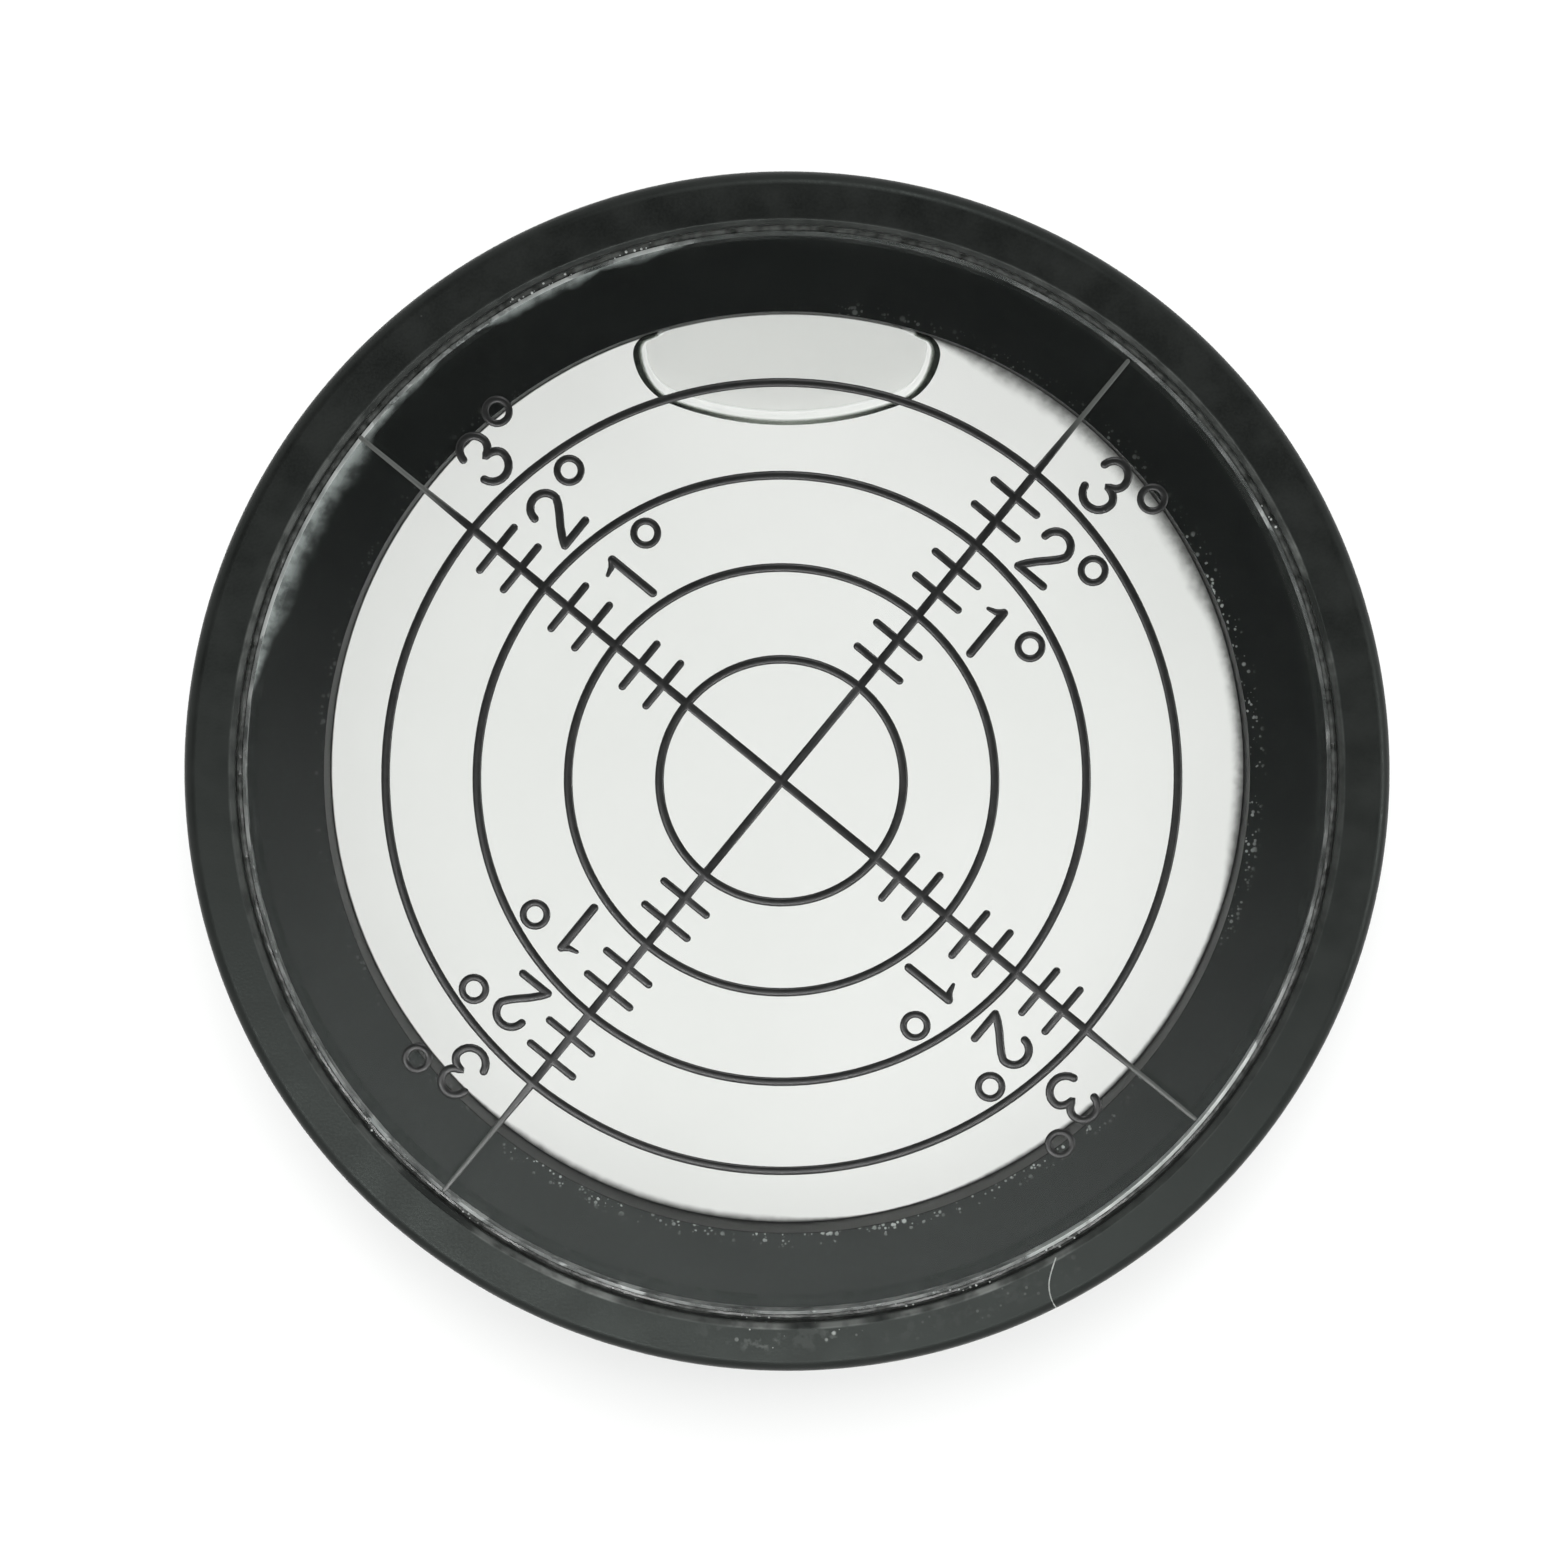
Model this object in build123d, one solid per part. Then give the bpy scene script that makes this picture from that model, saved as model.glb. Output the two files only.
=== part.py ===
from build123d import *
import os
from math import radians, sqrt, tan

os.makedirs("parts", exist_ok=True)

# Bullseye level lying on its base, in millimetres. The origin is the centre of the base, +Z is the
# axis of the disc, and +Y is the side that is uppermost when the disc stands on its rim.

# Case, from the axis outwards
vial_radius = 23.25
ledge_width = 3.85
lens_side_gap = 0.30
rim_width = 2.60

# Case and contents, from the base upwards
foot_height = 1.80
floor_thickness = 2.75
dial_thickness = 1.00
liquid_depth = 3.50
lens_thickness = 2.50
lip_height = 0.45

# Base of the case
foot_width = 4.00
foot_edge_bevel = 0.50
recess_corner_bevel = 0.60

# Edges of the rim
rim_edge_radius = 0.65
lip_edge_bevel = 0.25

# Contents of the vial
dial_side_gap = 0.05
lens_edge_break = 0.20
bond_below_lens_top = 0.80

# Graduation: one degree of tilt moves the bubble by degree_step
degree_step = 4.545
zero_ring_radius = 6.07
degree_rings = 3
ticks_per_degree = 3
ring_line_width = 0.44
cross_line_width = 0.43
outer_line_width = 0.25
outer_line_taper = 3.50
cross_arms = 4
tick_length = 3.10
tick_width = 0.40
ink_height = 0.06
cross_turn = 50.65
print_shift_x = -0.235
print_shift_y = 0.03

# Bubble, pressed against the top of the vial's wall
bubble_length = 15.40
bubble_width = 7.70
bubble_end_radius = 3.00
bubble_past_wall = 2.22
bubble_edge_radius = 0.90
bubble_corner_spare = 0.10
bubble_film = 0.12

# Filling hole in the base, with its screw and seal
port_radius = 1.55
screw_side_gap = 0.05
screw_end_gap = 0.40
head_radius = 2.90
head_thickness = 0.90
head_side_gap = 0.20
head_below_recess = 0.15
head_edge_bevel = 0.20
slot_width = 0.80
slot_depth = 0.45
seal_thickness = 0.50
seal_bore_gap = 0.10
seal_inset = 0.15

# How closely an edge has to match the radius and height by which it is found
edge_match = 0.0001

# Radii and heights that follow
lens_radius = vial_radius + ledge_width
pocket_radius = lens_radius + lens_side_gap
case_radius = pocket_radius + rim_width
floor_top = foot_height + floor_thickness
dial_top = floor_top + dial_thickness
ledge_height = dial_top + liquid_depth
lens_top = ledge_height + lens_thickness
case_height = lens_top + lip_height
head_bottom = foot_height + head_below_recess
head_seat = head_bottom + head_thickness + seal_thickness

# The sphere against which the bubble runs: its rise over the ledge, and the height of its centre
hollow_radius = degree_step / tan(radians(1))
hollow_centre = ledge_height - sqrt(hollow_radius**2 - vial_radius**2)
hollow_top = hollow_centre + hollow_radius


def turned(outline):
    """The solid that a closed outline in the XZ plane sweeps round the axis."""
    return revolve(Plane.XZ * make_face(outline), Axis.Z)


def disc(radius, bottom, top):
    """A plain disc on the axis."""
    return Pos(0, 0, bottom) * Cylinder(radius, top - bottom, align=(Align.CENTER, Align.CENTER, Align.MIN))


def edges_at(solid, radius, height):
    """The circular edges of a solid at one radius and height."""
    circles = solid.edges().filter_by(GeomType.CIRCLE)
    level = [e for e in circles if abs(e.center().Z - height) < edge_match]
    return [e for e in level if abs(e.radius - radius) < edge_match]


def case_cup():
    """Moulded cup with a hollow base, a vial bore, a ledge for the lens and a rim proud of it."""
    cup = disc(case_radius, 0, case_height)
    cup -= disc(pocket_radius, ledge_height, case_height)
    cup -= disc(vial_radius, floor_top, ledge_height)
    recess_radius = case_radius - foot_width
    cup -= disc(recess_radius, 0, foot_height)
    cup = chamfer(edges_at(cup, recess_radius, foot_height), recess_corner_bevel)
    cup = chamfer(edges_at(cup, case_radius, 0), foot_edge_bevel)
    cup = chamfer(edges_at(cup, pocket_radius, case_height), lip_edge_bevel)
    cup = fillet(edges_at(cup, case_radius, case_height), rim_edge_radius)
    cup -= disc(head_radius + head_side_gap, foot_height, head_seat)
    return cup - disc(port_radius, head_seat, floor_top)


def hollow_arc():
    """Section of the lens's spherical underside, from the vial's wall to the axis."""
    middle = vial_radius / 2
    rise = hollow_centre + sqrt(hollow_radius**2 - middle**2)
    return ThreePointArc((vial_radius, ledge_height), (middle, rise), (0, hollow_top))


def hollowed_lens():
    """Clear window, flat above and spherical below inside the ledge, with its top edge broken."""
    top_edge = lens_radius - lens_edge_break
    outline = Polyline(
        (0, hollow_top),
        (0, lens_top),
        (top_edge, lens_top),
        (lens_radius, lens_top - lens_edge_break),
        (lens_radius, ledge_height),
        (vial_radius, ledge_height),
    )
    return turned(outline + hollow_arc())


def vial_space():
    """The space between the dial and the lens."""
    outline = Polyline((0, hollow_top), (0, dial_top), (vial_radius, dial_top), (vial_radius, ledge_height))
    return turned(outline + hollow_arc())


def gas_bubble():
    """Flattened bubble between dial and lens, a long oval cut short by the vial's wall."""
    wall = vial_radius - bubble_film
    corner = bubble_edge_radius + bubble_corner_spare
    half_length = bubble_length / 2 - bubble_end_radius
    half_width = bubble_width / 2 - bubble_end_radius
    belly = (half_length**2 + half_width**2) / (2 * half_width)
    oval = Pos(0, belly - half_width) * Circle(belly) & Pos(0, half_width - belly) * Circle(belly)
    oval = Pos(0, wall + bubble_past_wall - bubble_width / 2) * offset(oval, bubble_end_radius - corner)
    outline = offset(oval & Circle(wall - corner), corner)
    bottom = dial_top + bubble_film
    column = Pos(0, 0, bottom) * extrude(outline, hollow_top - bottom, dir=(0, 0, 1))
    column &= Pos(0, 0, hollow_centre) * Sphere(hollow_radius - bubble_film)
    rims = [e for e in column.edges() if e.bounding_box().size.Z < liquid_depth / 2]
    return fillet(rims, bubble_edge_radius)


def cross_arm(last_ring):
    """One arm of the cross with its ticks: it narrows past the last ring and runs to the lens's edge."""
    arm = Pos(last_ring / 2, 0) * Rectangle(last_ring, cross_line_width)
    arm += Pos(lens_radius / 2, 0) * Rectangle(lens_radius, outer_line_width)
    arm += Polygon(
        (last_ring, -cross_line_width / 2),
        (last_ring + outer_line_taper, -outer_line_width / 2),
        (last_ring + outer_line_taper, outer_line_width / 2),
        (last_ring, cross_line_width / 2),
        align=None,
    )
    for tick in range(1, degree_rings * ticks_per_degree):
        if tick % ticks_per_degree:
            place = Pos(zero_ring_radius + tick * degree_step / ticks_per_degree, 0)
            arm += place * Rot(0, 0, 90) * SlotOverall(tick_length, tick_width)
    return arm


def graduation_ink():
    """Rings, cross and ticks in raised ink, turned and shifted as the lens was fitted."""
    last_ring = zero_ring_radius + degree_rings * degree_step
    ink = Sketch()
    for degree in range(degree_rings + 1):
        radius = zero_ring_radius + degree * degree_step
        half = ring_line_width / 2
        ink += Circle(radius + half) - Circle(radius - half)
    for arm in range(cross_arms):
        ink += Rot(0, 0, 360 * arm / cross_arms) * cross_arm(last_ring)
    flat_radius = lens_radius - lens_edge_break
    ink = Pos(print_shift_x, print_shift_y) * Rot(0, 0, cross_turn) * ink & Circle(flat_radius)
    return Pos(0, 0, lens_top) * extrude(ink, ink_height, dir=(0, 0, 1))


def screw_with_slot():
    """Slotted screw: its head in the recess of the base, its shank ending below the dial."""
    head = disc(head_radius, head_bottom, head_bottom + head_thickness)
    head = chamfer(edges_at(head, head_radius, head_bottom), head_edge_bevel)
    shank = disc(port_radius - screw_side_gap, head_bottom + head_thickness, floor_top - screw_end_gap)
    slot = Pos(0, 0, head_bottom) * Box(
        2 * head_radius, slot_width, slot_depth, align=(Align.CENTER, Align.CENTER, Align.MIN)
    )
    return head + shank - slot


case = case_cup()
dial = disc(vial_radius - dial_side_gap, floor_top, dial_top)
bubble = gas_bubble()
liquid = vial_space() - bubble
lens = hollowed_lens()
bond_ring = disc(pocket_radius, ledge_height, lens_top - bond_below_lens_top)
lens_bond = bond_ring - disc(lens_radius, ledge_height, lens_top)
seal = disc(head_radius - seal_inset, head_seat - seal_thickness, head_seat)
seal -= disc(port_radius + seal_bore_gap, head_seat - seal_thickness, head_seat)

pieces = {
    "case": case,
    "dial": dial,
    "liquid": liquid,
    "bubble": bubble,
    "lens": lens,
    "lens_bond": lens_bond,
    "graduation": graduation_ink(),
    "filler_screw": screw_with_slot(),
    "filler_seal": seal,
}
for name, piece in pieces.items():
    export_step(piece, f"parts/{name}.step")
    print(name, round(piece.volume, 3), "mm3")
print("case", 2 * case_radius, "mm across,", case_height, "mm high")
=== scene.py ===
from math import atan2, ceil, cos, degrees, hypot, pi, radians, sin, sqrt, tan

import bmesh
import bpy
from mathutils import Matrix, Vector, noise


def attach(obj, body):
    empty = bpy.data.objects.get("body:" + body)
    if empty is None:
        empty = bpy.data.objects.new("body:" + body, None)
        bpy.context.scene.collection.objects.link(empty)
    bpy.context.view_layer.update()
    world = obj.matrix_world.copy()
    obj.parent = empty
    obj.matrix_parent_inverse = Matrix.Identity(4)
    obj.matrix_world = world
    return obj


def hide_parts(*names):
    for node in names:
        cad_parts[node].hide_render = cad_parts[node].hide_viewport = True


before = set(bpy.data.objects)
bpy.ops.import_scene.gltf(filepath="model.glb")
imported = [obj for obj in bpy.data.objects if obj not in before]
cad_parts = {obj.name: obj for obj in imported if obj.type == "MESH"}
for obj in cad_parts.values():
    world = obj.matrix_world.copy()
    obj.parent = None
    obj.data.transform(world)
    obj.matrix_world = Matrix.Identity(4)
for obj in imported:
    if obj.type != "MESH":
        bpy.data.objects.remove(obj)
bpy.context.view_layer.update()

# CASE
# One cup injection-moulded in black ABS: hollow base with a foot ring, vial bore, ledge for the lens
# and a satin rim that stands proud of the lens. The lip round the lens is scuffed where the lens was pressed
# in, and a painted highlight runs along it too.
mm = 0.001
vial_radius = 23.25
lens_radius = 27.10
pocket_radius = 27.40
case_radius = 30.00
port_radius = 1.55
head_recess_radius = 3.10
recess_radius = 26.00
foot_height = 1.80
head_seat = 3.35
floor_top = 4.55
ledge_height = 9.05
case_height = 12.00
foot_bevel = 0.50
recess_bevel = 0.60
lip_bevel = 0.25
rim_rounding = 0.65
turning_steps = 288
edge_guard = 0.012


def eased(corners, facets=5):
    """Outline in mm with its corners (radius, height, rounding) turned into small arcs."""
    outline = []
    for place, (radius, height, rounding) in enumerate(corners):
        here = Vector((radius, height))
        if not rounding:
            outline.append(tuple(here))
            continue
        back = (Vector(corners[place - 1][:2]) - here).normalized()
        ahead = (Vector(corners[(place + 1) % len(corners)][:2]) - here).normalized()
        half = back.angle(ahead) / 2
        centre = here + (back + ahead).normalized() * rounding / sin(half)
        start = here + back * rounding / tan(half)
        end = here + ahead * rounding / tan(half)
        first = atan2(start.y - centre.y, start.x - centre.x)
        sweep = atan2(end.y - centre.y, end.x - centre.x) - first
        sweep = (sweep + pi) % (2 * pi) - pi
        outline.append(tuple(start + back * edge_guard))
        for step in range(facets + 1):
            angle = first + sweep * step / facets
            outline.append((centre.x + rounding * cos(angle), centre.y + rounding * sin(angle)))
        outline.append(tuple(end + ahead * edge_guard))
    return outline


def turned(name, outline, steps=turning_steps, crease=35):
    """Closed solid turned round the axis of the disc from an outline in mm."""
    form = bmesh.new()
    rings = []
    for radius, height in outline:
        ring = []
        for step in range(steps if radius > 1e-6 else 1):
            turn = 2 * pi * step / steps
            ring.append(form.verts.new((radius * mm * cos(turn), radius * mm * sin(turn), height * mm)))
        rings.append(ring)
    for ring, following in zip(rings, rings[1:] + rings[:1]):
        for step in range(steps):
            corners = []
            for side, shift in ((ring, 0), (ring, 1), (following, 1), (following, 0)):
                corner = side[(step + shift) % len(side)]
                if corner not in corners:
                    corners.append(corner)
            if len(corners) > 2:
                form.faces.new(corners)
    bmesh.ops.recalc_face_normals(form, faces=form.faces)
    return finished(name, form, crease)


def placed(name, data):
    """Object in the scene for a mesh, curve, lamp or camera."""
    made = bpy.data.objects.new(name, data)
    bpy.context.scene.collection.objects.link(made)
    return made


def finished(name, form, crease=35):
    """Object made from a bmesh, smooth but for the edges sharper than the crease angle."""
    mesh = bpy.data.meshes.new(name)
    form.to_mesh(mesh)
    form.free()
    mesh.polygons.foreach_set("use_smooth", [True] * len(mesh.polygons))
    mesh.set_sharp_from_angle(angle=radians(crease))
    return placed(name, mesh)


def finish_named(name):
    """New material with an empty node tree, and its output node."""
    finish = bpy.data.materials.new(name)
    finish.use_nodes = True
    finish.node_tree.nodes.clear()
    return finish, finish.node_tree, finish.node_tree.nodes.new("ShaderNodeOutputMaterial")


def wire(tree, kind, *ordered, **named):
    """Add a node: sockets in order, then settings and named sockets; links where a socket is given."""
    made = tree.nodes.new(kind)
    sockets = []
    for key, value in named.items():
        if hasattr(made, key):
            setattr(made, key, value)
        else:
            sockets.append((made.inputs[key.replace("_", " ")], value))
    sockets += [(made.inputs[place], value) for place, value in enumerate(ordered) if value is not None]
    for socket, value in sockets:
        if isinstance(value, bpy.types.NodeSocket):
            tree.links.new(value, socket)
        else:
            socket.default_value = value
    return made


def place_on_piece(tree):
    """Position on the piece, in metres."""
    return wire(tree, "ShaderNodeTexCoord").outputs["Object"]


def cloud(tree, scale, detail=3.0):
    """Soft random pattern from 0 to 1, with so many features to a metre."""
    made = wire(tree, "ShaderNodeTexNoise", Vector=place_on_piece(tree), Scale=scale, Detail=detail)
    return made.outputs["Fac"]


def stepped(tree, value, low, high, to_low=0.0, to_high=1.0):
    """Smooth step of a value between two levels."""
    made = wire(tree, "ShaderNodeMapRange", interpolation_type="SMOOTHSTEP", Value=value, From_Min=low,
                From_Max=high, To_Min=to_low, To_Max=to_high)
    return made.outputs["Result"]


def graded(tree, value, *stops):
    """Colour that runs through the stops (position, colour) as the value rises."""
    made = wire(tree, "ShaderNodeValToRGB", value)
    ramp = made.color_ramp
    while len(ramp.elements) < len(stops):
        ramp.elements.new(0.5)
    for element, (position, colour) in zip(ramp.elements, stops):
        element.position = position
        element.color = (*colour, 1.0)
    return made.outputs["Color"]


def coat(output, kind, *ordered, **named):
    """Add a shader and lay it on the surface."""
    skin = wire(output.id_data, kind, *ordered, **named)
    output.id_data.links.new(skin.outputs[0], output.inputs["Surface"])


def relief_of(tree, pattern, strength, depth):
    """Surface relief that follows a pattern, so many mm deep."""
    made = wire(tree, "ShaderNodeBump", Strength=strength, Distance=depth * mm, Height=pattern)
    return made.outputs[0]


def sum_of(tree, *values, operation="ADD"):
    """Values added up, or joined by another operation of the Math node."""
    total = values[0]
    for value in values[1:]:
        total = wire(tree, "ShaderNodeMath", total, value, operation=operation).outputs[0]
    return total


def product_of(tree, *values):
    """Values multiplied together."""
    return sum_of(tree, *values, operation="MULTIPLY")


def highest_of(tree, *values):
    """The highest of some values."""
    return sum_of(tree, *values, operation="MAXIMUM")


def scaled(tree, value, factor, least):
    """A value times a factor, on top of the least that it gives."""
    return wire(tree, "ShaderNodeMath", value, factor, least, operation="MULTIPLY_ADD").outputs[0]


def tinted(tree, share, under, over):
    """One colour laid over another by a share from 0 to 1."""
    return wire(tree, "ShaderNodeMixRGB", share, under, over).outputs[0]


def specks(tree, scale, size, share):
    """Specks of dust of unlike size: so many cells to a metre, of which a share holds one."""
    cells = wire(tree, "ShaderNodeTexVoronoi", Vector=place_on_piece(tree), Scale=scale)
    lot = wire(tree, "ShaderNodeSeparateColor", cells.outputs["Color"]).outputs
    reach = product_of(tree, lot[1], lot[1], size)
    near = stepped(tree, cells.outputs["Distance"], reach, product_of(tree, reach, 0.5))
    chosen = stepped(tree, lot[0], 1 - share, 1 - share + 0.02)
    return product_of(tree, near, chosen)


def share_of_runs(angle, runs, fade=1.5):
    """Strength at an angle, in degrees clockwise from the top, of runs (from, to, strength)."""
    best = 0.0
    for start, end, strength in runs:
        outside = max(start - angle, angle - end, 0.0)
        best = max(best, strength * max(0.0, 1 - outside / fade))
    return best


def mark_runs(piece, attribute, runs, fade=1.5):
    """Store the strength of runs round the disc on every vertex of a piece."""
    layer = piece.data.attributes.new(attribute, "FLOAT", "POINT")
    for vertex, cell in zip(piece.data.vertices, layer.data):
        clockwise = degrees(atan2(vertex.co.x, vertex.co.y)) % 360
        cell.value = share_of_runs(clockwise, runs, fade)


def mark_of(tree, attribute):
    """The stored strength of the runs."""
    return wire(tree, "ShaderNodeAttribute", attribute_name=attribute).outputs["Fac"]


def from_axis(tree):
    """Distance from the axis of the disc, in metres."""
    parts = wire(tree, "ShaderNodeSeparateXYZ", place_on_piece(tree))
    flat = wire(tree, "ShaderNodeCombineXYZ", parts.outputs[0], parts.outputs[1])
    return wire(tree, "ShaderNodeVectorMath", flat.outputs[0], operation="LENGTH").outputs["Value"]


def past_radius(tree, radius):
    """How far outside a radius in mm a place is, in metres."""
    return sum_of(tree, from_axis(tree), radius * mm, operation="SUBTRACT")


def ring_mask(tree, radius, half_width):
    """One near a radius in mm from the axis, nought away from it."""
    off = wire(tree, "ShaderNodeMath", past_radius(tree, radius), operation="ABSOLUTE").outputs[0]
    return stepped(tree, off, half_width * mm, half_width * mm * 0.4)


lip_middle = 27.58
lip_half_width = 0.19
dusty_middle = 28.15
dusty_half_width = 0.95
case_plastic, tree, output = finish_named("black_abs_satin")
mottle = cloud(tree, 420, 3)
grain = cloud(tree, 7500, 1)
streak = stepped(tree, cloud(tree, 750, 3), 0.36, 0.62, 0.30, 1.0)
colour = graded(tree, mottle, (0.30, (0.0068, 0.0074, 0.0070)), (0.70, (0.0125, 0.0132, 0.0126)))
on_lip = ring_mask(tree, lip_middle, lip_half_width)
# Pale marks along the lip: partly scuffs, partly a painted highlight of the lip's bevel.
scuffs_and_highlight = product_of(tree, on_lip, streak, mark_of(tree, "lip_scuff_and_highlight"), 0.45)
dust = product_of(tree, specks(tree, 560, 0.10, 0.05), 0.55)
bloom = stepped(tree, cloud(tree, 1700, 4), 0.48, 0.62, 0.0, 0.16)
powder = sum_of(tree, bloom, specks(tree, 3300, 0.60, 0.35))
on_rim = ring_mask(tree, dusty_middle, dusty_half_width)
powder = product_of(tree, powder, on_rim, mark_of(tree, "rim_dust"))
colour = tinted(tree, highest_of(tree, scuffs_and_highlight, dust, powder), colour, (0.42, 0.44, 0.42, 1))
gloss = sum_of(tree, stepped(tree, mottle, 0.3, 0.7, 0.34, 0.42), stepped(tree, grain, 0.3, 0.7, -0.03, 0.04))
coat(output, "ShaderNodeBsdfPrincipled", Base_Color=colour, Roughness=gloss,
     Normal=relief_of(tree, grain, 0.25, 0.012), Specular_IOR_Level=0.25, Specular_Tint=(0.89, 1.0, 0.94, 1))

lint_reach = 0.9
smear_reach = 1.2
smear_least = 0.1
case_ledge, tree, output = finish_named("black_abs_behind_lens")
mottle = cloud(tree, 500, 2)
colour = graded(tree, mottle, (0.30, (0.0018, 0.0020, 0.0019)), (0.70, (0.0034, 0.0037, 0.0035)))
near_wall = stepped(tree, past_radius(tree, vial_radius), lint_reach * mm, 0.0)
crowded = stepped(tree, cloud(tree, 520, 2), 0.32, 0.55, 0.15, 1.0)
lint = highest_of(tree, specks(tree, 3100, 0.62, 0.50), specks(tree, 6100, 0.80, 0.45))
lint = product_of(tree, lint, near_wall, mark_of(tree, "lint"), crowded)
stray = product_of(tree, specks(tree, 420, 0.08, 0.12), 0.5)
lint = product_of(tree, highest_of(tree, lint, stray), 0.8)
colour = tinted(tree, lint, colour, (0.45, 0.48, 0.46, 1))
spread = scaled(tree, mark_of(tree, "smear"), smear_reach * mm, smear_least * mm)
spread = product_of(tree, spread, stepped(tree, cloud(tree, 1100, 4), 0.3, 0.7, 0.90, 1.10))
depth = sum_of(tree, past_radius(tree, lens_radius), spread, operation="DIVIDE")
fading = stepped(tree, sum_of(tree, depth, 1), 0.0, 1.3)
wiped = stepped(tree, cloud(tree, 1500, 5), 0.32, 0.66, 0.25, 0.85)
smear = product_of(tree, fading, stepped(tree, mark_of(tree, "smear"), 0, 0.2), wiped)
colour = tinted(tree, smear, colour, (0.39, 0.43, 0.42, 1))
coat(output, "ShaderNodeBsdfPrincipled", Base_Color=colour, Roughness=0.34, Specular_IOR_Level=0.13,
     Specular_Tint=(0.86, 1.0, 0.95, 1))

case_bore, tree, output = finish_named("black_abs_wetted")
colour = graded(tree, cloud(tree, 900, 4), (0.30, (0.0030, 0.0032, 0.0031)), (0.70, (0.0060, 0.0064, 0.0062)))
coat(output, "ShaderNodeBsdfPrincipled", Base_Color=colour, Roughness=0.40, Specular_IOR_Level=0.03)

case_outline = eased([
    (port_radius, head_seat, 0),
    (port_radius, floor_top, 0),
    (vial_radius, floor_top, 0),
    (vial_radius, ledge_height, 0.04),
    (pocket_radius, ledge_height, 0),
    (pocket_radius, case_height - lip_bevel, 0.10),
    (pocket_radius + lip_bevel, case_height, 0.10),
    (case_radius, case_height, rim_rounding),
    (case_radius, foot_bevel, 0.15),
    (case_radius - foot_bevel, 0, 0.15),
    (recess_radius, 0, 0.08),
    (recess_radius, foot_height - recess_bevel, 0.15),
    (recess_radius - recess_bevel, foot_height, 0.15),
    (head_recess_radius, foot_height, 0.08),
    (head_recess_radius, head_seat, 0),
], facets=6)
case_shell = turned("case_shell", case_outline)
# Runs of the lip's scuffs and of its painted highlight.
lip_scuff_and_highlight_runs = ((25, 62, 0.25), (63, 67, 0.7), (77, 79, 0.5), (80, 146, 0.15), (147, 154, 0.7), (156, 163, 1.0),
              (166, 168, 0.9), (172, 176, 0.7), (181, 185, 0.9), (186, 198, 0.3), (199, 206, 1.0),
              (206, 214, 0.5), (225, 232, 0.25), (233, 278, 0.2), (280, 310, 0.35), (310, 360, 0.12),
              (0, 25, 0.12))
mark_runs(case_shell, "lip_scuff_and_highlight", lip_scuff_and_highlight_runs)
smear_runs = ((282, 284, 0.25), (284, 286, 0.40), (286, 288, 0.60), (288, 308, 0.85), (308, 318, 0.30),
              (329, 338, 0.45), (343, 345.5, 0.40), (341, 348, 0.22))
mark_runs(case_shell, "smear", smear_runs, fade=3)
lint_runs = ((62, 104, 0.8), (136, 214, 1.0), (8, 50, 0.2), (214, 320, 0.10))
mark_runs(case_shell, "lint", lint_runs, fade=8)
rim_dust_runs = ((181.6, 183.6, 1.0), (174.6, 175.4, 0.8), (177, 188, 0.25), (150, 177, 0.12))
mark_runs(case_shell, "rim_dust", rim_dust_runs)
for finish in (case_plastic, case_ledge, case_bore):
    case_shell.data.materials.append(finish)


def off_axis(face):
    """Distance in mm of a face's middle from the axis."""
    return hypot(face.center.x, face.center.y) / mm


wall_slack = 0.02
level_slack = 0.001
for face in case_shell.data.polygons:
    height = face.center.z / mm
    if off_axis(face) < pocket_radius - wall_slack and height > floor_top - level_slack:
        face.material_index = 1 if height > ledge_height - level_slack else 2
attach(case_shell, "root")
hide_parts("case")

# FILLING SCREW AND SEAL
# The vial is filled through a hole in the base, closed by a slotted nylon screw that presses a flat
# rubber ring against its seat. Both are the frame's own pieces and only get their finish here.
screw_nylon, tree, output = finish_named("black_nylon")
grain = cloud(tree, 5200, 4)
colour = graded(tree, cloud(tree, 700), (0.3, (0.016, 0.017, 0.018)), (0.7, (0.030, 0.031, 0.032)))
coat(output, "ShaderNodeBsdfPrincipled", Base_Color=colour, Normal=relief_of(tree, grain, 0.3, 0.02),
     Roughness=stepped(tree, grain, 0.3, 0.7, 0.36, 0.52))

seal_rubber, tree, output = finish_named("nitrile_rubber")
grain = cloud(tree, 9000, 5)
colour = graded(tree, grain, (0.3, (0.010, 0.010, 0.011)), (0.7, (0.024, 0.024, 0.025)))
coat(output, "ShaderNodeBsdfPrincipled", Base_Color=colour, Normal=relief_of(tree, grain, 0.4, 0.02),
     Roughness=0.78)

for node, finish in (("filler_screw", screw_nylon), ("filler_seal", seal_rubber)):
    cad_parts[node].data.materials.clear()
    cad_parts[node].data.materials.append(finish)

# DIAL
# Disc punched from white styrene sheet, dropped into the vial before it is filled. Its face is matt
# and faintly cloudy. Its colour is darkened along its edge, most at the upper right: painted shade from the
# vial's wall.
dial_top = 5.55
dial_radius = 23.23
painted_shade_radius = 23.20
painted_shade_reach = 1.20
painted_shade_least = 0.06
painted_shade_ring = 20.60
dial_white, tree, output = finish_named("white_styrene")
haze = cloud(tree, 95, 2)
fine = cloud(tree, 1400, 1)
colour = graded(tree, haze, (0.30, (0.868, 0.873, 0.860)), (0.70, (0.891, 0.895, 0.882)))
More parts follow.
